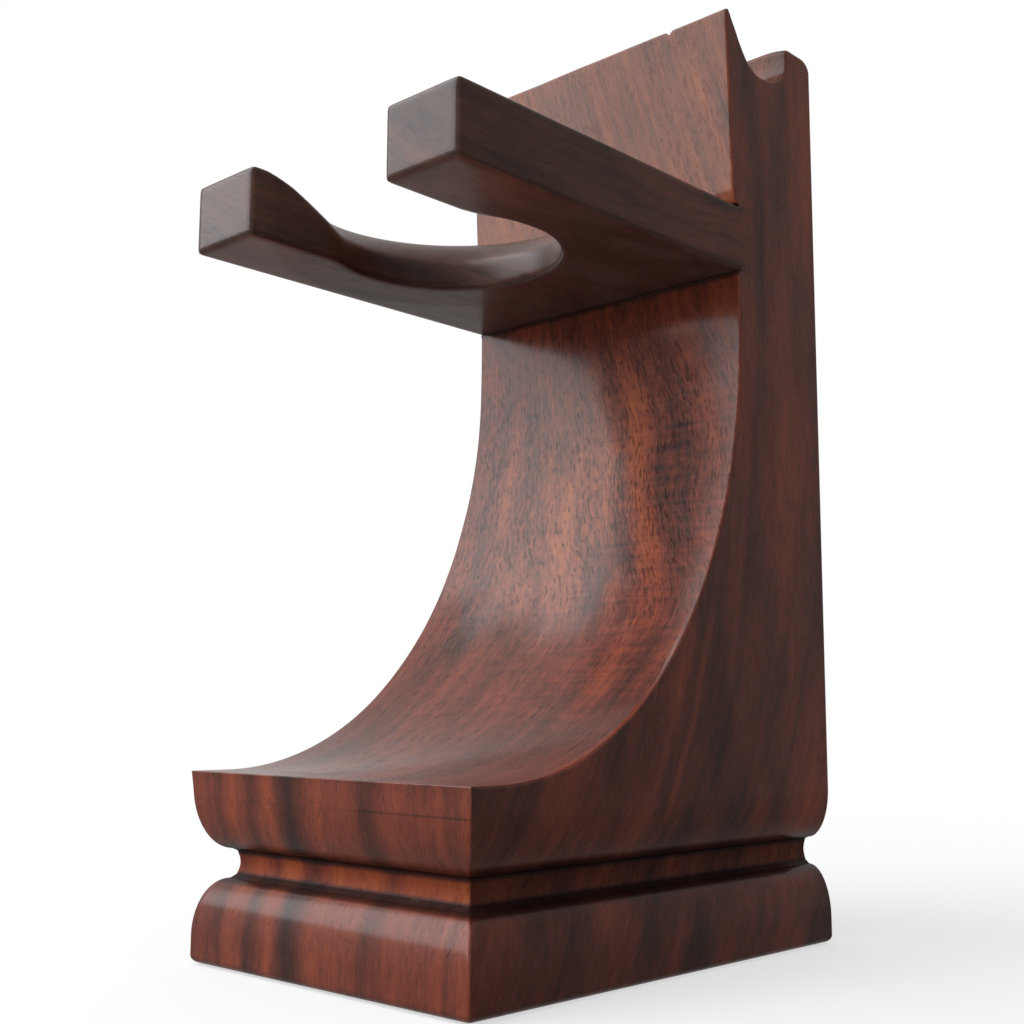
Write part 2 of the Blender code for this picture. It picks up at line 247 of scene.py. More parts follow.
def waviness(x, y, z):
    """Shallow unevenness of the hand-sanded front, in millimetres."""
    if y > SANDED_Y or z < SANDED_BOTTOM_Z:
        return 0.0
    fade = min((z - SANDED_BOTTOM_Z) / SANDED_FADE, 1.0)
    here = noise.noise(Vector((x * 0.11, z * 0.09, 3.7)))
    fine = noise.noise(Vector((x * 0.33, z * 0.21, 9.1)))
    return fade * (SANDING_WAVE * here + SANDING_RIPPLE * fine)


def flare(x, y, z):
    """How far the front of the upper band leans out, most at its top left."""
    if y > FLARE_Y or z < FLARE_BOTTOM_Z:
        return 0.0
    lift = min((z - FLARE_BOTTOM_Z) / (BASE_HEIGHT - FLARE_BOTTOM_Z), 1.0)
    near = min((FLARE_Y - y) / FLARE_RUN, 1.0)
    side = 0.5 - FLARE_LEFTWARD * x / HALF_WIDTH
    return FLARE * side * lift ** 1.5 * near


def nick(x, y, z):
    """Depth of the small chip in the front lip."""
    rear, down = NICK_REACH
    if y > rear or z < FRONT_LIP_Z - down:
        return 0.0
    return NICK_DEPTH * math.exp(-((x - NICK_X) / NICK_SPREAD) ** 2)


def droop(x, y, z):
    """How far the ridge behind the groove is rounded off at its ends."""
    end = (abs(x) - HALF_WIDTH + RIDGE_END) / RIDGE_END
    if end <= 0.0 or y < RIDGE_Y or z < RIDGE_BOTTOM_Z:
        return 0.0
    lift = min((z - RIDGE_BOTTOM_Z) / (FRONT_LIP_Z - RIDGE_BOTTOM_Z), 1.0)
    return RIDGE_DROOP * end * end * lift ** 2


def new_vert(bm, x, y, z):
    """Vertex from millimetres."""
    return bm.verts.new((x * MM, y * MM, z * MM))


def skin(bm, first, second, closed):
    """Quads between two rows of vertices."""
    count = len(first) if closed else len(first) - 1
    for i in range(count):
        j = (i + 1) % len(first)
        bm.faces.new((first[i], first[j], second[j], second[i]))


def to_object(bm, name):
    """Finish a bmesh as a linked object with outward normals."""
    bmesh.ops.recalc_face_normals(bm, faces=bm.faces)
    mesh = bpy.data.meshes.new(name)
    bm.to_mesh(mesh)
    bm.free()
    obj = bpy.data.objects.new(name, mesh)
    bpy.context.scene.collection.objects.link(obj)
    return obj


def bake(obj):
    """Apply the modifier stack."""
    bpy.context.view_layer.update()
    graph = bpy.context.evaluated_depsgraph_get()
    baked = bpy.data.meshes.new_from_object(obj.evaluated_get(graph))
    obj.modifiers.clear()
    obj.data = baked
    return obj


def build_columns(bm, across):
    """Rows of vertices over the column, one row for each station."""
    outline = column_outline()
    normals = inward_normals(outline)
    columns = []
    for x, share in across:
        row = []
        for (y, z, ease), (ny, nz) in zip(outline, normals):
            inset = SIDE_EASE * ease * share + waviness(x, y, z) * min(ease, 1.0)
            py = y + ny * inset - flare(x, y, z)
            pz = z + nz * inset - nick(x, y, z) - droop(x, y, z)
            row.append(new_vert(bm, x, py, pz))
        columns.append(row)
    return columns


def build_ring(bm, across, depth, height, back_inset):
    """One level of the moulded base, front row and then back row."""
    flat = HALF_WIDTH - SIDE_EASE
    front, back = [], []
    for x, share in across:
        if abs(x) > flat:
            px = math.copysign(abs(x) - depth, x)
        else:
            px = x * (flat - depth) / flat
        inset = SIDE_EASE * share
        py = BASE_FRONT_Y + depth + inset
        front.append(new_vert(bm, px, py - flare(x, BASE_FRONT_Y, height), height))
        back.append(new_vert(bm, px, BACK_Y - back_inset - inset, height))
    return front + list(reversed(back))


def build_block():
    """Moulded base and swept column with eased edges."""
    bm = bmesh.new()
    across = stations()
    columns = build_columns(bm, across)
    for first, second in zip(columns, columns[1:]):
        skin(bm, first, second, False)
    bm.faces.new(columns[0])
    bm.faces.new(list(reversed(columns[-1])))
    rings = [build_ring(bm, across, *level) for level in moulding_levels()]
    rings.append([row[0] for row in columns] + [row[-1] for row in reversed(columns)])
    for lower, upper in zip(rings, rings[1:]):
        skin(bm, lower, upper, True)
    bm.faces.new(rings[0])
    obj = to_object(bm, "base_and_column")
    for polygon in obj.data.polygons:
        polygon.use_smooth = True
    obj.data.set_sharp_from_angle(angle=math.radians(34))
    weighted = obj.modifiers.new("normals", "WEIGHTED_NORMAL")
    weighted.keep_sharp = True
    weighted.weight = 80
    return obj


def dish_profile():
    """Radius and height of the sunk seat, from the eye to the rim."""
    run = DISH_RADIUS - EYE_RADIUS
    rise = FORK_TOP_Z - DISH_CREASE_Z
    chord = math.hypot(run, rise)
    reach = math.sqrt(DISH_ARC_RADIUS ** 2 - (chord / 2) ** 2)
    mid = ((DISH_RADIUS + EYE_RADIUS) / 2, (FORK_TOP_Z + DISH_CREASE_Z) / 2)
    centre = (mid[0] + reach * rise / chord, mid[1] - reach * run / chord)
    first = math.degrees(math.atan2(DISH_CREASE_Z - centre[1], EYE_RADIUS - centre[0]))
    last = math.degrees(math.atan2(FORK_TOP_Z - centre[1], DISH_RADIUS - centre[0]))
    return arc(centre, DISH_ARC_RADIUS, DISH_ARC_RADIUS, first, last, 22)


def turned(name, rows, steps):
    """Closed body of revolution about the eye's axis."""
    bm = bmesh.new()
    rings = []
    for radius, height in rows:
        verts = []
        for i in range(steps):
            angle = 2 * math.pi * i / steps
            x = radius * math.cos(angle)
            verts.append(new_vert(bm, x, EYE_Y + radius * math.sin(angle), height))
        rings.append(verts)
    for lower, upper in zip(rings, rings[1:]):
        skin(bm, lower, upper, True)
    bm.faces.new(list(reversed(rings[0])))
    bm.faces.new(rings[-1])
    return to_object(bm, name)


def block_of(name, low, high):
    """Closed box between two corners in millimetres."""
    bm = bmesh.new()
    bmesh.ops.create_cube(bm, size=1.0)
    for vert in bm.verts:
        for axis in range(3):
            centre = (low[axis] + high[axis]) / 2
            size = high[axis] - low[axis]
            vert.co[axis] = (centre + vert.co[axis] * size) * MM
    return to_object(bm, name)


def mouth_outline():
    """Plan of the slot, with its corners rounded into the eye."""
    centre_x = SLOT_HALF + MOUTH_RADIUS
    centre_y = EYE_Y - math.sqrt((EYE_RADIUS + MOUTH_RADIUS) ** 2 - centre_x ** 2)
    meeting = math.degrees(math.atan2(EYE_Y - centre_y, -centre_x))
    bend = arc((centre_x, centre_y), MOUTH_RADIUS, MOUTH_RADIUS, 180.0, meeting, 10)
    right = [(SLOT_HALF, FORK_TIP_Y - 2)] + bend + [(0.0, EYE_Y)]
    left = [(-x, y) for x, y in reversed(right[:-1])]
    return right + left


def prism(name, outline, low, high):
    """Closed upright prism over a plan outline."""
    bm = bmesh.new()
    rows = [[new_vert(bm, x, y, z) for x, y in outline] for z in (low, high)]
    skin(bm, rows[0], rows[1], True)
    bm.faces.new(list(reversed(rows[0])))
    bm.faces.new(rows[1])
    return to_object(bm, name)


def soften_eye(obj):
    """Round the crease in the eye further than the outer edges."""
    group = obj.vertex_groups.new(name="eye")
    for vert in obj.data.vertices:
        x, y, z = (value / MM for value in vert.co)
        radius = math.hypot(x, y - EYE_Y)
        near = min(max((EYE_SOFT_RADIUS - radius) / EYE_SOFT_FADE, 0.0), 1.0)
        above = min(max((z - FORK_BOTTOM_Z - 0.4) / 1.5, 0.0), 1.0)
        if near * above > 0.0 and z < FORK_TOP_Z - 0.8:
            group.add([vert.index], near * above, "REPLACE")
    soften = obj.modifiers.new("eye", "SMOOTH")
    soften.factor = 0.5
    soften.iterations = EYE_SOFTENING
    soften.vertex_group = "eye"
    bake(obj)


def square_tongue(obj):
    """Bring the glued-in end of the board back to its exact square faces."""
    rear = HOUSING_Y - TONGUE_GAP
    bm = bmesh.new()
    bm.from_mesh(obj.data)
    for vert in bm.verts:
        x, y, z = (value / MM for value in vert.co)
        if y < SEAT_Y + 0.15:
            continue
        if abs(x) > HALF_WIDTH - TONGUE_SNAP:
            vert.co.x = math.copysign(HALF_WIDTH * MM, x)
        if z > FORK_TOP_Z - TONGUE_SNAP:
            vert.co.z = FORK_TOP_Z * MM
        if z < FORK_BOTTOM_Z + TONGUE_SNAP:
            vert.co.z = FORK_BOTTOM_Z * MM
        if y > rear - TONGUE_SNAP:
            vert.co.y = rear * MM
    bmesh.ops.remove_doubles(bm, verts=bm.verts, dist=0.02 * MM)
    bmesh.ops.dissolve_degenerate(bm, edges=bm.edges, dist=0.01 * MM)
    bm.to_mesh(obj.data)
    bm.free()


def build_fork():
    """Forked board with slot, round eye, sunk seat and softened edges."""
    low = (-HALF_WIDTH, FORK_TIP_Y, FORK_BOTTOM_Z)
    high = (HALF_WIDTH, HOUSING_Y - TONGUE_GAP, FORK_TOP_Z)
    obj = block_of("fork_board", low, high)
    slot = prism("slot_tool", mouth_outline(), FORK_BOTTOM_Z - 2, FORK_TOP_Z + 2)
    rows = [(EYE_RADIUS, FORK_BOTTOM_Z - 2)] + dish_profile()
    rows.append((DISH_RADIUS + 2, FORK_TOP_Z + 2))
    eye = turned("eye_tool", rows, 160)
    for tool in (slot, eye):
        cut = obj.modifiers.new("cut", "BOOLEAN")
        cut.operation = "DIFFERENCE"
        cut.solver = "EXACT"
        cut.object = tool
    bake(obj)
    for tool in (slot, eye):
        bpy.data.objects.remove(tool, do_unlink=True)
    remesh = obj.modifiers.new("voxels", "REMESH")
    remesh.mode = "VOXEL"
    remesh.voxel_size = FORK_CELL * MM
    bake(obj)
    smooth = obj.modifiers.new("soften", "SMOOTH")
    smooth.factor = 0.5
    smooth.iterations = EDGE_SOFTENING
    bake(obj)
    soften_eye(obj)
    square_tongue(obj)
    for polygon in obj.data.polygons:
        polygon.use_smooth = True
    obj.data.set_sharp_from_angle(angle=math.radians(60))
    return obj


# --------------------------------------------------------------- materials
#
# Places in the materials are millimetres in the row frame.  The figure is one
# number, 0 for the darkest wood and 1 for the lightest, which a palette turns
# into colour, and every mark adds to it or takes from it.

# Gloss of the bare wood under the coat
WOOD_IOR = 1.5
WOOD_SPECULAR = 0.16


class Graph:
    """Small helper that adds linked shader nodes."""

    def __init__(self, owner):
        """Start with an empty node tree on a material or a world."""
        self.owner = owner
        owner.use_nodes = True
        self.tree = owner.node_tree
        self.tree.nodes.clear()

    def node(self, kind, **settings):
        """New node with the given settings."""
        node = self.tree.nodes.new(kind)
        for key, value in settings.items():
            setattr(node, key, value)
        return node

    def put(self, socket, value):
        """Link an output to a socket, or set the socket to a plain value."""
        if isinstance(value, bpy.types.NodeSocket):
            self.tree.links.new(value, socket)
        elif value is not None:
            socket.default_value = value

    def math(self, operation, a, b=None, c=None, clamp=False):
        """One math node on up to three values."""
        node = self.node("ShaderNodeMath", operation=operation, use_clamp=clamp)
        for socket, value in zip(node.inputs, (a, b, c)):
            self.put(socket, value)
        return node.outputs[0]

    def add(self, *values):
        """Sum of any number of values."""
        total = values[0]
        for value in values[1:]:
            total = self.math("ADD", total, value)
        return total

    def mul(self, a, b):
        """Product of two values."""
        return self.math("MULTIPLY", a, b)

    def sub(self, a, b):
        """Difference of two values."""
        return self.math("SUBTRACT", a, b)

    def highest(self, *values):
        """Largest of any number of values."""
        top = values[0]
        for value in values[1:]:
            top = self.math("MAXIMUM", top, value)
        return top

    def unit(self, value):
        """A value held between 0 and 1."""
        return self.highest(self.math("MINIMUM", value, 1.0), 0.0)

    def combine(self, x, y, z):
        """Vector of three values."""
        node = self.node("ShaderNodeCombineXYZ")
        for socket, value in zip(node.inputs, (x, y, z)):
            self.put(socket, value)
        return node.outputs[0]

    def noise(self, at, frequency, detail=2.0, roughness=0.5):
        """Noise sampled at three coordinates, each with its own frequency."""
        scaled = [self.mul(value, rate) for value, rate in zip(at, frequency)]
        node = self.node("ShaderNodeTexNoise", noise_dimensions="3D")
        self.put(node.inputs["Vector"], self.combine(*scaled))
        node.inputs["Scale"].default_value = 1.0
        node.inputs["Detail"].default_value = detail
        node.inputs["Roughness"].default_value = roughness
        return node.outputs["Fac"]

    def swing(self, value, amount):
        """A noise value centred on zero and scaled."""
        return self.mul(self.sub(value, 0.5), amount)

    def ramp(self, value, stops, mode="LINEAR"):
        """Colour ramp through (position, colour or grey) stops."""
        node = self.node("ShaderNodeValToRGB")
        node.color_ramp.interpolation = mode
        elements = node.color_ramp.elements
        while len(elements) < len(stops):
            elements.new(1.0)
        for element, (position, colour) in zip(elements, stops):
            element.position = position
            if not isinstance(colour, tuple):
                colour = (colour, colour, colour)
            element.color = (*colour, 1.0)
        self.put(node.inputs["Fac"], value)
        return node.outputs["Color"]

    def curve(self, value, points):
        """Smooth curve through (input, output) points."""
        low, high = points[0][0], points[-1][0]
        floor = min(point[1] for point in points)
        top = max(point[1] for point in points)
        stops = []
        for at, output in points:
            share = (output - floor) / (top - floor)
            stops.append(((at - low) / (high - low), share))
        position = self.math("DIVIDE", self.sub(value, low), high - low)
        shade = self.ramp(position, stops, "CARDINAL")
        return self.math("MULTIPLY_ADD", shade, top - floor, floor)

    def step(self, value, low, high, out_low=0.0, out_high=1.0):
        """Smooth step between two values."""
        node = self.node("ShaderNodeMapRange", interpolation_type="SMOOTHSTEP")
        for name, item in (
            ("Value", value),
            ("From Min", low),
            ("From Max", high),
            ("To Min", out_low),
            ("To Max", out_high),
        ):
            self.put(node.inputs[name], item)
        return node.outputs["Result"]

    def window(self, value, low, low_full, high_full, high):
        """1 between two values, with a smooth step at either end."""
        rise = self.step(value, low, low_full)
        return self.mul(rise, self.step(value, high, high_full))

    def band(self, value, centre, half, soft=1.0):
        """1 at the centre of a stripe, 0 beyond its half width."""
        distance = self.math("ABSOLUTE", self.sub(value, centre))
        return self.step(distance, half * (1.0 - soft), half, 1.0, 0.0)

    def spot(self, a, b, centre, half, lean=0.0):
        """Soft oval mark; lean shifts a with b."""
        db = self.sub(b, centre[1])
        da = self.math("MULTIPLY_ADD", db, -lean, self.sub(a, centre[0]))
        da = self.mul(da, 1.0 / half[0])
        db = self.mul(db, 1.0 / half[1])
        reach = self.add(self.mul(da, da), self.mul(db, db))
        return self.step(reach, 0.0, 1.0, 1.0, 0.0)

    def mix(self, factor, a, b, blend="MIX"):
        """Blend of two colours."""
        node = self.node("ShaderNodeMix", data_type="RGBA", blend_type=blend)
        self.put(node.inputs["Factor"], factor)
        self.put(node.inputs["A"], a)
        self.put(node.inputs["B"], b)
        return node.outputs["Result"]

    def millimetres(self):
        """Object coordinates in millimetres."""
        coords = self.node("ShaderNodeTexCoord")
        split = self.node("ShaderNodeSeparateXYZ")
        self.put(split.inputs[0], coords.outputs["Object"])
        return [self.mul(split.outputs[i], 1.0 / MM) for i in range(3)]

    def facing(self):
        """Components of the surface normal."""
        geometry = self.node("ShaderNodeNewGeometry")
        split = self.node("ShaderNodeSeparateXYZ")
        self.put(split.inputs[0], geometry.outputs["Normal"])
        return split.outputs[0], split.outputs[1], split.outputs[2]

    def finish(self, colour, roughness, height, distance, coat, coat_roughness):
        """Wood shader with a clear coat and bump, as the material's surface."""
        shader = self.node("ShaderNodeBsdfPrincipled")
        self.put(shader.inputs["Base Color"], colour)
        self.put(shader.inputs["Roughness"], roughness)
        shader.inputs["IOR"].default_value = WOOD_IOR
        shader.inputs["Specular IOR Level"].default_value = WOOD_SPECULAR
        self.put(shader.inputs["Coat Weight"], coat)
        self.put(shader.inputs["Coat Roughness"], coat_roughness)
        bump = self.node("ShaderNodeBump")
        bump.inputs["Strength"].default_value = 1.0
        bump.inputs["Distance"].default_value = distance * MM
        self.put(bump.inputs["Height"], height)
        self.put(shader.inputs["Normal"], bump.outputs["Normal"])
        output = self.node("ShaderNodeOutputMaterial")
        self.put(output.inputs["Surface"], shader.outputs[0])
        return self.owner


# Red block, from the darkest figure to the lightest
BLOCK_PALETTE = [
    (0.00, (0.018, 0.007, 0.006)),
    (0.18, (0.055, 0.014, 0.009)),
    (0.40, (0.130, 0.028, 0.016)),
    (0.60, (0.230, 0.047, 0.024)),
    (0.80, (0.330, 0.070, 0.028)),
    (1.00, (0.430, 0.098, 0.030)),
]

# Brown board, from the darkest figure to the lightest
FORK_PALETTE = [
    (0.00, (0.022, 0.011, 0.009)),
    (0.35, (0.060, 0.024, 0.016)),
    (0.65, (0.110, 0.042, 0.026)),
    (1.00, (0.200, 0.062, 0.032)),
]

# Pale beech of the dowels, and its flecks
DOWEL_PALETTE = [(0.25, (0.42, 0.26, 0.14)), (0.75, (0.66, 0.46, 0.28))]
DOWEL_FLECK = (0.25, 0.14, 0.07, 1.0)

# Dark fillings: open vessels, painted shade in the quirks, glue lines
VESSEL_DARK = (0.018, 0.008, 0.006, 1.0)
FORK_VESSEL_DARK = (0.012, 0.007, 0.006, 1.0)
QUIRK_SHADE_DARK = (0.010, 0.005, 0.005, 1.0)
SEAM_DARK = (0.010, 0.006, 0.005, 1.0)

# Tints that multiply the wood's colour: a painted sheen on the sweep, a browner upper
# face, a painted sheen on the fork's end faces
# Painted sheen on the sweep's left and middle: paler, pinker wood
SWEEP_SHEEN_TINT = (1.12, 1.42, 1.48, 1.0)
UPPER_BROWN = (0.80, 0.96, 0.68, 1.0)
# Painted sheen on the fork's end faces: greyer wood
END_FACE_SHEEN_GREY = (0.82, 0.95, 1.25, 1.0)

# Painted reflected light on the underside of the fork, pinkish grey near the column and
# redder at the tips
UNDERSIDE_REFLECTION_ROOT = (0.132, 0.084, 0.072, 1.0)
UNDERSIDE_REFLECTION_TIP = (0.230, 0.080, 0.058, 1.0)

# Satin finish: gloss of the oiled coat and relief of the grain in millimetres
BLOCK_COAT = 0.65
FORK_COAT = 0.58
COAT_ROUGHNESS = 0.17
BLOCK_RELIEF = 0.10
FORK_RELIEF = 0.04

# Line of the bright streak: its x for each height
STREAK_LINE = [
    (0.0, 17.0), (24.0, 17.0), (36.0, 17.2), (42.5, 18.0), (45.6, 17.2),
    (50.0, 15.4), (54.5, 12.9), (59.2, 10.8), (65.0, 9.4), (69.7, 8.5),
    (74.5, 7.1), (79.5, 5.2), (83.2, 3.8), (88.2, 2.3), (92.0, 1.4),
    (104.0, -2.6), (130.0, -11.0),
]

# Marks on the sweep: x, z, half width, half length, lean, added figure
SWEEP_MARKS = [
    (-13.0, 71.5, 3.0, 16.0, -0.03, -0.12),
    (-6.1, 69.5, 1.6, 5.5, 0.0, -0.14),
    (-19.5, 54.0, 1.6, 4.6, 0.0, -0.08),
    (-10.9, 49.0, 2.0, 4.2, 0.0, -0.07),
    (-8.0, 43.6, 3.6, 3.8, -0.3, -0.16),
    (0.4, 56.5, 1.2, 7.0, 0.0, -0.16),
    (6.2, 48.6, 2.4, 9.0, -0.45, -0.22),
    (-15.1, 42.0, 2.8, 4.2, 0.0, -0.14),
    (19.2, 37.5, 3.2, 6.5, 0.0, -0.20),
    (3.0, 35.5, 2.6, 3.0, 0.0, -0.12),
    # Painted shade: darker upper left of the sweep, under the fork
    (-17.0, 84.0, 5.5, 9.0, 0.0, -0.06),
    (-10.9, 86.0, 2.0, 8.0, -0.1, 0.22),
    (5.4, 88.0, 1.3, 6.0, 0.0, 0.16),
    (16.4, 88.0, 1.5, 6.0, 0.0, 0.16),
    (20.6, 87.0, 1.4, 7.0, 0.0, 0.16),
    (19.4, 72.0, 2.6, 14.0, -0.1, 0.16),
    (13.4, 55.5, 4.0, 6.5, -0.5, -0.02),
    (16.5, 65.0, 3.4, 5.5, 0.0, 0.09),
    # Painted sheen: paler strip along the sweep's right edge
    (22.5, 76.0, 3.6, 14.0, 0.0, 0.07),
    (-12.0, 47.0, 6.0, 10.0, 0.0, 0.05),
    (-16.0, 63.0, 1.6, 9.0, 0.0, 0.10),
    (-3.0, 62.0, 1.4, 12.0, 0.0, 0.14),
    (4.0, 64.0, 1.6, 9.0, 0.0, 0.10),
    (-20.0, 47.0, 3.0, 9.0, 0.0, 0.08),
    (-5.0, 66.0, 17.0, 27.0, 0.0, 0.11),
    (12.0, 45.5, 4.5, 7.0, -0.3, 0.19),
    (1.0, 60.0, 9.0, 20.0, 0.0, 0.08),
    (14.0, 80.0, 12.0, 16.0, 0.0, 0.06),
]

# Cross marks left by the sanding drum: x, z, half length
DRUM_MARKS = [
    (13.6, 68.3, 6.0), (16.2, 59.8, 3.8), (12.4, 65.2, 4.4),
    (15.4, 63.3, 3.2), (14.6, 71.2, 3.4),
]

# Areas of the sweep with a worn coat: x, z, half width, half length, lean
WORN_AREAS = [
    (14.5, 64.0, 12.0, 32.0, -0.12),
    (5.5, 74.0, 5.0, 15.0, -0.35),
    (14.5, 41.5, 8.0, 13.0, -0.3),
]

# Stripes on the front of the base: x, half width, added figure
BASE_STRIPES = [
    (-23.0, 1.6, 0.10), (-19.4, 1.3, -0.16), (-16.4, 1.6, 0.14),
    (-13.0, 2.0, -0.24), (-9.6, 1.9, 0.16), (-5.4, 3.4, -0.36),
    (-0.6, 2.4, 0.14), (8.3, 2.6, -0.14), (13.0, 3.4, 0.08),
    (18.4, 1.8, -0.12), (21.6, 1.6, -0.12),
]


def before_seat(g, y):
    """1 in front of the fork's seat, 0 behind it."""
    return g.step(y, SEAT_Y + 0.3, SEAT_Y - 0.2)


def before_back(g, y):
    """1 up to the edge of the flat back, 0 on the back itself."""
    return g.step(y, BACK_Y - 0.05, BACK_Y - 0.3)


def grain_wander(g, x, y, z):
    """Slow drift of the grain, centred on zero."""
    return g.sub(g.noise((x, y, z), (0.05, 0.05, 0.03), 2.0, 0.5), 0.5)


def sweep_streaks(g, figure, layer, ragged, z, front, sweep):
    """Add the bright streak down the sweep and the dark band to its right, partly
    darker wood and partly a painted reflection of the fork's arm.
    """
    reach = g.add(g.math("ABSOLUTE", layer), g.swing(ragged, 3.2))
    width = g.step(z, 42.0, 80.0, 4.4, 2.6)
    streak = g.step(reach, 0.0, width, 1.0, 0.0)
    power = g.step(z, 44.0, 54.0, 0.14, 0.30)
    power = g.mul(power, g.step(z, 96.0, 66.0, 0.85, 1.0))
    figure = g.math("MULTIPLY_ADD", g.mul(streak, sweep), power, figure)
    # Dark band: partly darker wood, partly a painted reflection of the fork's left arm
    dark_line = g.step(z, 50.0, 78.0, 4.2, 8.0)
    dark_width = g.step(z, 50.0, 70.0, 3.0, 7.6)
    reach = g.math("ABSOLUTE", g.sub(layer, dark_line))
    reach = g.add(reach, g.swing(ragged, 3.6))
    dark = g.step(reach, 0.0, dark_width, 1.0, 0.0)
    extent = g.window(z, 42.0, 56.0, 82.0, 90.0)
    dark = g.mul(dark, g.mul(front, extent))
    return g.sub(figure, g.mul(dark, 0.12))


def sweep_marks(g, figure, ragged, x, y, z, front, sweep):
    """Add the separate marks, the drum's cross marks, the broad shades and painted
    light under the fork.
    """
    shift = g.swing(ragged, 2.4)
    marks = 0.0
    for mx, mz, half_x, half_z, lean, amount in SWEEP_MARKS:
        mark = g.spot(g.add(x, shift), z, (mx, mz), (half_x, half_z), lean)
        marks = g.math("MULTIPLY_ADD", mark, amount, marks)
    for mx, mz, half_x in DRUM_MARKS:
        across = g.add(z, g.mul(shift, 0.25))
        mark = g.spot(x, across, (mx, mz), (half_x, 0.5))
        marks = g.math("MULTIPLY_ADD", mark, -0.14, marks)
    chatter = g.noise((x, y, z), (0.14, 0.1, 1.5), 2.0, 0.5)
    strength = g.mul(g.step(x, -4.0, 12.0, 0.35, 1.0), sweep)
    chatter = g.mul(g.swing(chatter, 0.5), strength)
    flat = g.step(z, 36.0, 26.0, 0.0, -0.06)
    flat = g.mul(flat, g.step(z, 22.5, 23.6))
    # The last term lightens and reddens the band just under the fork: painted light in
    # the fork's shade
    marks = g.add(marks, chatter, flat, g.step(z, 76.0, 92.0, 0.0, 0.29))
    return g.math("MULTIPLY_ADD", marks, front, figure)


def base_stripes(g, figure, x, y, z):
    """Add the stripes, the pale cove and a painted shade line where the base's flat
    front meets the ovolo.
    """
    base = g.mul(g.step(y, -24.0, -29.0), g.step(z, 25.5, 24.0))
    wave = g.swing(g.noise((x, y, z), (0.3, 0.05, 0.13), 2.0, 0.5), 2.4)
    stripes = 0.06
    for sx, half, amount in BASE_STRIPES:
        stripe = g.band(g.add(x, wave), sx, half)
        stripes = g.math("MULTIPLY_ADD", stripe, amount, stripes)
    figure = g.math("MULTIPLY_ADD", stripes, base, figure)
    cove = g.window(z, 10.9, 11.5, 13.0, 13.6)
    figure = g.math("MULTIPLY_ADD", g.mul(cove, base), 0.27, figure)
    # Painted shade: a thin dark line where the flat front turns into the ovolo,
    # stronger on the right
    front_limit_shade = g.mul(base, g.step(x, 4.0, 12.0, 0.3, 1.0))
    front_limit_shade = g.mul(g.band(z, 20.4, 0.22), front_limit_shade)
    return g.math("MULTIPLY_ADD", front_limit_shade, -0.22, figure)


def front_figure(g, x, y, z, wander):
    """Figure and strands of the front and back: near-vertical streaks."""
    line = g.curve(z, STREAK_LINE)
    line = g.mul(line, g.step(y, 18.0, 36.0, 1.0, 0.35))
    drift = g.mul(wander, 3.0)
    layer = g.add(g.sub(x, line), drift)
    follow = g.step(x, -22.0, 8.0, 0.15, 1.0)
    follow = g.highest(follow, g.step(z, 96.0, 104.0))
    strand = g.sub(g.sub(x, 6.0), g.mul(g.sub(line, 6.0), follow))
    strand = g.add(strand, drift)
    broad = g.noise((strand, y, z), (0.18, 0.02, 0.014), 2.0, 0.5)
    lines = g.noise((strand, y, z), (0.85, 0.03, 0.035), 4.0, 0.65)
    patch = g.noise((x, y, z), (0.14, 0.06, 0.07), 3.0, 0.55)
    ragged = g.noise((strand, y, z), (1.1, 0.05, 0.11), 3.0, 0.6)

    upper = g.step(z, 101.0, 106.0)
    calm = g.mul(g.step(y, -20.0, -30.0), g.step(z, 27.0, 24.0))
    rise = g.math("MULTIPLY_ADD", calm, -0.30, 0.62)
    rise = g.math("MULTIPLY_ADD", upper, 0.45, rise)
    figure = g.add(0.47, g.swing(broad, 0.50), g.swing(patch, 0.50))
    fade = g.mul(g.step(x, -2.0, 16.0, -0.02, -0.17), upper)
    foot = g.mul(g.band(z, 107.0, 8.0), g.step(z, 101.0, 103.0, 0.0, 0.08))
    fade = g.add(fade, foot)
    fade = g.add(fade, g.step(z, 108.0, 116.0, 0.0, -0.045))
    figure = g.add(figure, fade)
    figure = g.add(figure, g.mul(g.sub(lines, 0.5), rise))

    front = g.step(y, 17.5, 16.8)
    sweep = g.mul(front, g.window(z, 25.0, 36.0, 90.0, 100.0))
    figure = sweep_streaks(g, figure, layer, ragged, z, front, sweep)
    figure = sweep_marks(g, figure, ragged, x, y, z, front, sweep)
    return base_stripes(g, figure, x, y, z), strand


def side_figure(g, x, y, z, wander):
    """Figure and strands of the sides: soft streaks that bend at the base."""
    t = g.math("DIVIDE", g.sub(76.0, z), 76.0, clamp=True)
    bent = g.math("MULTIPLY_ADD", g.mul(t, t), 24.0, y)
    bent = g.add(bent, g.mul(wander, 5.0))
    broad = g.noise((bent, x, z), (0.14, 0.1, 0.016), 3.0, 0.55)
    lines = g.noise((bent, x, z), (0.60, 0.3, 0.022), 4.0, 0.65)
    patch = g.noise((y, x, z), (0.12, 0.1, 0.045), 3.0, 0.55)
    figure = g.add(0.37, g.swing(broad, 0.70), g.swing(lines, 0.46))
    figure = g.add(figure, g.swing(patch, 0.80))
    rear = g.step(y, 10.0, 32.0)
    # Lighter wood towards the rear; the lift towards the top and the darkening at the
    # foot are painted light and shade
    figure = g.add(figure, g.mul(rear, 0.08), g.step(z, 84.0, 122.0, 0.0, 0.06))
    figure = g.add(figure, g.step(z, 10.0, 4.0, 0.0, -0.05))
    thin = g.band(bent, 12.6, 1.3)
    thin = g.mul(thin, g.window(z, 14.0, 24.0, 38.0, 48.0))
    return g.add(figure, g.mul(thin, 0.25)), bent


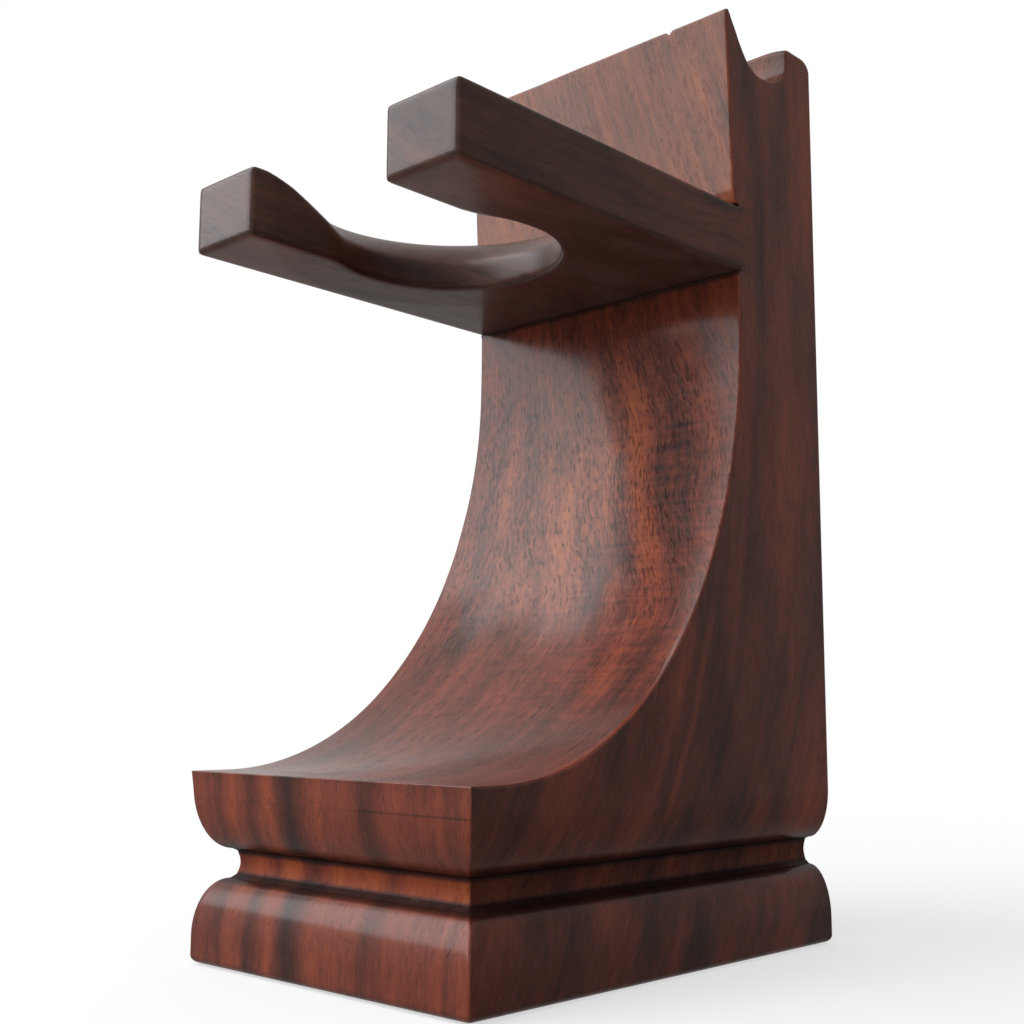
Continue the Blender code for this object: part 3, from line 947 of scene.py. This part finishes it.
def side_wood(g, x, y, z):
    """Colour of the block's side, for the end of the board let into it."""
    figure, bent = side_figure(g, x, y, z, grain_wander(g, x, y, z))
    _, flecks, fibres = open_grain(g, bent, x, z)
    figure = g.add(figure, g.swing(fibres, 0.27), g.swing(flecks, 0.40))
    return g.ramp(figure, BLOCK_PALETTE)


def open_grain(g, across, depth, along):
    """Short vessel dashes, flecks and fibre lines that run along the grain."""
    at = (across, depth, along)
    vessels = g.noise(at, (3.0, 0.6, 0.75), 1.0, 0.4)
    clusters = g.noise(at, (0.22, 0.1, 0.08), 1.0, 0.5)
    limit = g.step(clusters, 0.35, 0.65, 0.64, 0.56)
    pores = g.step(vessels, limit, g.add(limit, 0.10))
    flecks = g.noise(at, (2.1, 0.5, 0.60), 2.0, 0.6)
    fibres = g.noise(at, (4.6, 0.8, 0.20), 3.0, 0.62)
    return pores, flecks, fibres


def quirk_painted_shade(g, y, z, on_side):
    """Painted shade in the two quirks of the moulding, wider on the sides."""
    spread = g.mul(on_side, 0.5)
    upper = g.window(z, 13.1, 13.8, 14.0, g.add(spread, 15.1))
    lower = g.window(z, g.sub(9.7, spread), 10.3, 10.9, 11.4)
    return g.mul(g.add(upper, lower), before_back(g, y))


def worn_coat(g, x, y, z, on_front, above):
    """How much of the coat is worn off the front, by area."""
    areas = []
    for cx, cz, half_x, half_z, lean in WORN_AREAS:
        areas.append(g.spot(x, z, (cx, cz), (half_x, half_z), lean))
    worn = g.mul(g.highest(*areas), on_front)
    worn = g.mul(worn, g.mul(before_seat(g, y), 0.50))
    upper = g.mul(above, before_seat(g, y))
    return g.add(worn, g.mul(upper, g.step(x, -10.0, 12.0, 0.03, 0.10)))


def block_tints(g, colour, x, y, z, on_front, on_side, above):
    """Tints by area, painted sheen on the sweep, painted shade in the quirks and the
    glue line round the fork.
    """
    # Painted sheen: the sweep's left and middle are made paler and pinker in colour
    sheen_tint = g.mul(on_front, before_seat(g, y))
    sheen_tint = g.mul(g.spot(x, z, (-5.0, 58.0), (21.0, 30.0)), sheen_tint)
    colour = g.mix(sheen_tint, colour, SWEEP_SHEEN_TINT, "MULTIPLY")
    colour = g.mix(g.mul(above, 0.9), colour, UPPER_BROWN, "MULTIPLY")
    # Painted shade: the quirks of the moulding are darkened in colour
    quirk = quirk_painted_shade(g, y, z, on_side)
    colour = g.mix(g.mul(quirk, 0.85), colour, QUIRK_SHADE_DARK)
    joint = g.window(z, 90.7, 91.5, 101.3, 101.6)
    joint = g.mul(joint, g.step(y, 17.6, 17.3))
    return g.mix(g.mul(joint, 0.75), colour, SEAM_DARK)


def block_wood():
    """Rosewood of the block: streaks, vessels, and painted shade in the quirks."""
    g = Graph(bpy.data.materials.new("rosewood_block_finish"))
    x, y, z = g.millimetres()
    nx, ny, _ = g.facing()
    lean = g.sub(g.math("ABSOLUTE", nx), g.math("ABSOLUTE", ny))
    on_side = g.step(lean, -0.12, 0.12)
    on_front = g.sub(1.0, on_side)
    above = g.mul(on_front, g.step(z, 100.0, 106.0))
    groove = g.window(y, 16.8, 18.0, 30.6, 31.2)
    groove = g.mul(g.mul(groove, g.step(z, 120.6, 121.2)), on_front)
    sweep = g.window(z, 34.0, 58.0, 95.0, 101.0)
    sweep = g.mul(sweep, g.mul(on_front, before_seat(g, y)))

    # Broad figure, then the fine grain on top of it
    wander = grain_wander(g, x, y, z)
    front, strand = front_figure(g, x, y, z, wander)
    side, bent = side_figure(g, x, y, z, wander)
    figure = g.add(g.mul(front, on_front), g.mul(side, on_side))
    figure = g.math("MULTIPLY_ADD", groove, 0.24, figure)
    across = g.add(g.mul(strand, on_front), g.mul(bent, on_side))
    depth = g.add(g.mul(y, on_front), g.mul(x, on_side))
    pores, flecks, fibres = open_grain(g, across, depth, z)
    coarse = g.math("MULTIPLY_ADD", sweep, g.step(x, 4.0, 14.0, 0.70, 0.42),
                    g.step(z, 20.0, 30.0, 0.38, 0.48))
    grain = g.add(g.swing(fibres, 0.55), g.swing(flecks, 0.80))
    figure = g.unit(g.math("MULTIPLY_ADD", grain, coarse, figure))
    colour = g.ramp(figure, BLOCK_PALETTE)
    shown = g.step(x, 4.0, 14.0, 0.40, 0.22)
    shown = g.math("MULTIPLY_ADD", sweep, shown, 0.22)
    colour = g.mix(g.mul(pores, shown), colour, VESSEL_DARK)
    colour = block_tints(g, colour, x, y, z, on_front, on_side, above)

    # Gloss: the coat is thin in the cove, in the groove's bottom and where worn
    cove = g.mul(g.window(z, 9.8, 10.6, 14.0, 15.0), before_back(g, y))
    bottom = g.mul(groove, g.step(z, 124.6, 126.0, 1.0, 0.35))
    recess = g.highest(cove, bottom)
    worn = worn_coat(g, x, y, z, on_front, above)
    coat = g.sub(BLOCK_COAT, g.add(g.mul(recess, 0.55), worn))
    roughness = g.add(0.38, g.mul(pores, 0.2), g.swing(fibres, 0.12))
    roughness = g.add(roughness, g.mul(recess, 0.2))
    height = g.add(g.mul(fibres, 0.5), g.mul(flecks, 0.6))
    height = g.mul(g.sub(height, g.mul(pores, 0.9)), coarse)
    return g.finish(colour, roughness, height, BLOCK_RELIEF, coat, COAT_ROUGHNESS)


def fork_painted_light_and_glue(g, colour, layer, x, y, ny, below):
    """Painted reflected light on the underside, painted sheen on the end faces and the
    glue line at the root.
    """
    # Painted reflected light: pinkish-grey and red patches on the underside stand in
    # for light thrown up from the floor and the sweep
    patches = g.noise((layer, x, y), (0.25, 0.1, 0.09), 3.0, 0.6)
    reflection_patches = g.mul(below, g.step(patches, 0.40, 0.62, 0.30, 0.80))
    reflected_tint = g.mix(g.step(y, -12.0, -30.0), UNDERSIDE_REFLECTION_ROOT, UNDERSIDE_REFLECTION_TIP)
    colour = g.mix(reflection_patches, colour, reflected_tint)
    # Painted sheen: the fork's end faces are greyed in colour, as where they reflect
    # the soft box
    end_face = g.mul(g.step(ny, -0.5, -0.9), g.step(y, -36.0, -36.8))
    colour = g.mix(end_face, colour, END_FACE_SHEEN_GREY, "MULTIPLY")
    root = g.mul(g.mul(g.step(y, 16.3, 17.1), below), g.step(y, 17.6, 17.2))
    return g.mix(g.mul(root, 0.5), colour, SEAM_DARK)


def fork_wood():
    """Browner rosewood board: grain along the arms."""
    g = Graph(bpy.data.materials.new("rosewood_fork_finish"))
    x, y, z = g.millimetres()
    _, ny, nz = g.facing()
    outer = g.step(g.math("ABSOLUTE", x), 23.4, 24.6)
    below = g.step(nz, -0.6, -0.9)
    from_eye = g.sub(y, EYE_Y)
    from_eye = g.math("SQRT", g.add(g.mul(x, x), g.mul(from_eye, from_eye)))
    eye_wall = g.mul(g.step(from_eye, 15.8, 15.2), g.step(z, 96.0, 95.4))
    dish = g.mul(g.step(from_eye, 24.6, 22.0), g.step(z, 101.1, 100.4))
    dish = g.mul(dish, g.step(x, -6.0, -13.0))
    bowl = g.mul(g.step(from_eye, 24.8, 23.6), g.step(z, 92.4, 93.2))

    # Figure in layers along the board, darker in the eye and the sunk seat
    wander = g.noise((x, y, z), (0.06, 0.03, 0.06), 2.0, 0.5)
    layer = g.add(g.mul(x, 0.55), g.mul(z, 0.85), g.swing(wander, 6.0))
    broad = g.noise((layer, y, z), (0.18, 0.012, 0.03), 2.0, 0.5)
    lines = g.noise((layer, y, z), (0.8, 0.02, 0.05), 4.0, 0.65)
    patch = g.noise((x, y, z), (0.06, 0.06, 0.12), 3.0, 0.55)
    pores, flecks, fibres = open_grain(g, layer, x, y)
    figure = g.add(0.48, g.swing(broad, 1.0), g.swing(lines, 0.9))
    figure = g.add(figure, g.swing(patch, 0.7))
    figure = g.add(figure, g.swing(fibres, 0.40), g.swing(flecks, 0.30))
    cut = g.add(g.mul(eye_wall, 0.16), g.mul(dish, 0.12))
    figure = g.unit(g.sub(figure, cut))

    # Brown board that turns redder towards the column, and takes the
    # column's own figure where its ends lie in the housing
    brown = g.ramp(figure, FORK_PALETTE)
    red = g.ramp(g.mul(figure, 0.98), BLOCK_PALETTE)
    glow = g.math("MULTIPLY_ADD", outer, 0.70, 0.10)
    glow = g.mul(g.step(y, -14.0, 17.0), glow)
    colour = g.mix(glow, brown, red)
    tongue = g.mul(g.step(y, 16.6, 21.6), outer)
    colour = g.mix(tongue, colour, side_wood(g, x, y, z))
    colour = g.mix(g.mul(pores, 0.15), colour, FORK_VESSEL_DARK)
    colour = fork_painted_light_and_glue(g, colour, layer, x, y, ny, below)

    # Gloss: thinner coat below and in the sunk seat, more in the eye's bowl
    roughness = g.add(0.36, g.mul(pores, 0.1), g.swing(fibres, 0.12))
    height = g.add(g.mul(fibres, 0.5), g.mul(flecks, 0.4))
    height = g.sub(height, g.mul(pores, 0.3))
    coat = g.sub(FORK_COAT, g.add(g.mul(below, 0.25), g.mul(dish, 0.18)))
    glossy = g.mul(bowl, g.step(x, -8.0, 2.0))
    coat = g.math("MULTIPLY_ADD", glossy, 0.16, coat)
    coat_roughness = g.math("MULTIPLY_ADD", bowl, 0.16, COAT_ROUGHNESS)
    return g.finish(colour, roughness, height, FORK_RELIEF, coat, coat_roughness)


def dowel_wood():
    """Pale beech with short flecks along the dowel."""
    g = Graph(bpy.data.materials.new("beech_dowel_finish"))
    x, y, z = g.millimetres()
    pores, _, fibres = open_grain(g, x, z, y)
    colour = g.ramp(fibres, DOWEL_PALETTE)
    colour = g.mix(g.mul(pores, 0.4), colour, DOWEL_FLECK)
    height = g.sub(fibres, pores)
    return g.finish(colour, 0.62, height, 0.03, 0.0, 0.3)


# ------------------------------------------------------------------- scene

# Pale floor: its radius in metres, its two shades, and its fade-out by radius
# in millimetres
FLOOR_RADIUS = 0.9
FLOOR_DIFFUSE = 0.42
FLOOR_GLOW = 0.62
FLOOR_GLOW_TINT = (0.985, 0.99, 1.0, 1.0)
FLOOR_FADE = (60.0, 300.0)

# Dim surround, a brighter card at the rear left, a darker corner at the rear
# right and less light from below
SURROUND_STRENGTH = 0.49
SURROUND_TINT = (1.0, 0.98, 0.96, 1.0)
CARD_STRENGTH = 0.16
CORNER_SHADE = 0.5
LOW_SHADE = 0.6
DIAGONAL = 0.707

# Soft box at the front left, aimed at the middle of the stand, in metres
SOFT_BOX_TOWARD = (-0.43, -0.61, 0.67)
SOFT_BOX_DISTANCE = 0.75
SOFT_BOX_SIZE = (0.78, 0.95)
SOFT_BOX_RADIANCE = 2.5
SOFT_BOX_TINT = (0.97, 0.985, 1.0)
AIM_Z = 0.065

# Camera: place in millimetres, angles in radians, focal length in millimetres
CAMERA_AT = (127.084, -136.645, 31.849)
CAMERA_YAW = 0.7555
CAMERA_PITCH = 0.1425
CAMERA_ROLL = 0.0049
CAMERA_LENS = 48.155
SENSOR_WIDTH = 36.0


def give(obj, material):
    """Use one material on every slot of an object."""
    if not obj.data.materials:
        obj.data.materials.append(material)
    for item in obj.material_slots:
        item.material = material


def floor_material():
    """Pale matt floor that fades out into the backdrop."""
    g = Graph(bpy.data.materials.new("pale_floor"))
    x, y, _ = g.millimetres()
    radius = g.math("SQRT", g.add(g.mul(x, x), g.mul(y, y)))
    matt = g.node("ShaderNodeBsdfDiffuse")
    matt.inputs["Color"].default_value = (*[FLOOR_DIFFUSE] * 3, 1.0)
    glow = g.node("ShaderNodeEmission")
    glow.inputs["Color"].default_value = FLOOR_GLOW_TINT
    glow.inputs["Strength"].default_value = FLOOR_GLOW
    shader = g.node("ShaderNodeAddShader")
    g.put(shader.inputs[0], matt.outputs[0])
    g.put(shader.inputs[1], glow.outputs[0])
    clear = g.node("ShaderNodeBsdfTransparent")
    blend = g.node("ShaderNodeMixShader")
    g.put(blend.inputs[0], g.step(radius, *FLOOR_FADE))
    g.put(blend.inputs[1], shader.outputs[0])
    g.put(blend.inputs[2], clear.outputs[0])
    output = g.node("ShaderNodeOutputMaterial")
    g.put(output.inputs["Surface"], blend.outputs[0])
    return g.owner


def build_floor():
    """Pale round floor under the stand."""
    bm = bmesh.new()
    bmesh.ops.create_circle(bm, cap_ends=True, segments=96, radius=FLOOR_RADIUS)
    floor = to_object(bm, "studio_floor")
    floor.location.z = -0.2 * MM
    give(floor, floor_material())
    floor.visible_diffuse = False
    floor.visible_glossy = False


def build_world():
    """White backdrop for the camera and a dim soft surround for the stand."""
    world = bpy.data.worlds.new("studio")
    bpy.context.scene.world = world
    g = Graph(world)
    coords = g.node("ShaderNodeTexCoord")
    split = g.node("ShaderNodeSeparateXYZ")
    g.put(split.inputs[0], coords.outputs["Generated"])
    dx, dy, dz = split.outputs
    rear_left = g.mul(g.sub(dy, dx), DIAGONAL)
    rear_right = g.mul(g.add(dx, dy), DIAGONAL)
    card = g.step(rear_left, 0.3, 0.95, 0.0, CARD_STRENGTH)
    corner = g.step(rear_right, 0.2, 0.9, 1.0, CORNER_SHADE)
    low = g.step(dz, -0.3, 0.12, LOW_SHADE, 1.0)
    strength = g.mul(g.mul(g.add(SURROUND_STRENGTH, card), corner), low)
    surround = g.node("ShaderNodeBackground")
    surround.inputs["Color"].default_value = SURROUND_TINT
    g.put(surround.inputs["Strength"], strength)
    backdrop = g.node("ShaderNodeBackground")
    backdrop.inputs["Color"].default_value = (1.0, 1.0, 1.0, 1.0)
    backdrop.inputs["Strength"].default_value = 1.0
    path = g.node("ShaderNodeLightPath")
    mix = g.node("ShaderNodeMixShader")
    g.put(mix.inputs[0], path.outputs["Is Camera Ray"])
    g.put(mix.inputs[1], surround.outputs[0])
    g.put(mix.inputs[2], backdrop.outputs[0])
    output = g.node("ShaderNodeOutputWorld")
    g.put(output.inputs["Surface"], mix.outputs[0])


def build_soft_box():
    """One large soft box at the front left."""
    width, height = SOFT_BOX_SIZE
    data = bpy.data.lights.new("soft_box", "AREA")
    data.shape = "RECTANGLE"
    data.size = width
    data.size_y = height
    data.energy = SOFT_BOX_RADIANCE * math.pi * width * height
    data.color = SOFT_BOX_TINT
    light = bpy.data.objects.new("soft_box", data)
    toward = Vector(SOFT_BOX_TOWARD).normalized()
    light.location = Vector((0.0, 0.0, AIM_Z)) + toward * SOFT_BOX_DISTANCE
    light.rotation_euler = toward.to_track_quat("Z", "Y").to_euler()
    bpy.context.scene.collection.objects.link(light)


def build_camera():
    """Close, low camera at the front right."""
    data = bpy.data.cameras.new("camera")
    data.lens = CAMERA_LENS
    data.sensor_width = SENSOR_WIDTH
    data.clip_start = 0.01
    data.clip_end = 20.0
    camera = bpy.data.objects.new("camera", data)
    level = Vector((-math.sin(CAMERA_YAW), math.cos(CAMERA_YAW), 0.0))
    side = Vector((math.cos(CAMERA_YAW), math.sin(CAMERA_YAW), 0.0))
    up = Vector((0.0, 0.0, 1.0))
    ahead = level * math.cos(CAMERA_PITCH) + up * math.sin(CAMERA_PITCH)
    head = up * math.cos(CAMERA_PITCH) - level * math.sin(CAMERA_PITCH)
    right = side * math.cos(CAMERA_ROLL) + head * math.sin(CAMERA_ROLL)
    top = head * math.cos(CAMERA_ROLL) - side * math.sin(CAMERA_ROLL)
    matrix = Matrix((right, top, -ahead)).transposed().to_4x4()
    matrix.translation = Vector(CAMERA_AT) * MM
    camera.matrix_world = matrix
    bpy.context.scene.collection.objects.link(camera)
    bpy.context.scene.camera = camera


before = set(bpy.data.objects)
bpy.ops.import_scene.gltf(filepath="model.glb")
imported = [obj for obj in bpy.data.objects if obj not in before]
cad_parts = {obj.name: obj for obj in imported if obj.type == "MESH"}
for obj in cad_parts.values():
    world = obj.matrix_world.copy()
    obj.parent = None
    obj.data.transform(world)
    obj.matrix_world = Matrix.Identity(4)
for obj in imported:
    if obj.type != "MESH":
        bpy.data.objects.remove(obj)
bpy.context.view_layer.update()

block = build_block()
give(block, block_wood())
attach(block, "root")
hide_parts("base_column_block")

fork = build_fork()
give(fork, fork_wood())
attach(fork, "root")
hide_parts("fork_bracket")

beech = dowel_wood()
for name in ("dowel_left", "dowel_right"):
    give(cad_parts[name], beech)

build_floor()
build_world()
build_soft_box()
build_camera()
bpy.context.scene.view_settings.view_transform = "Standard"
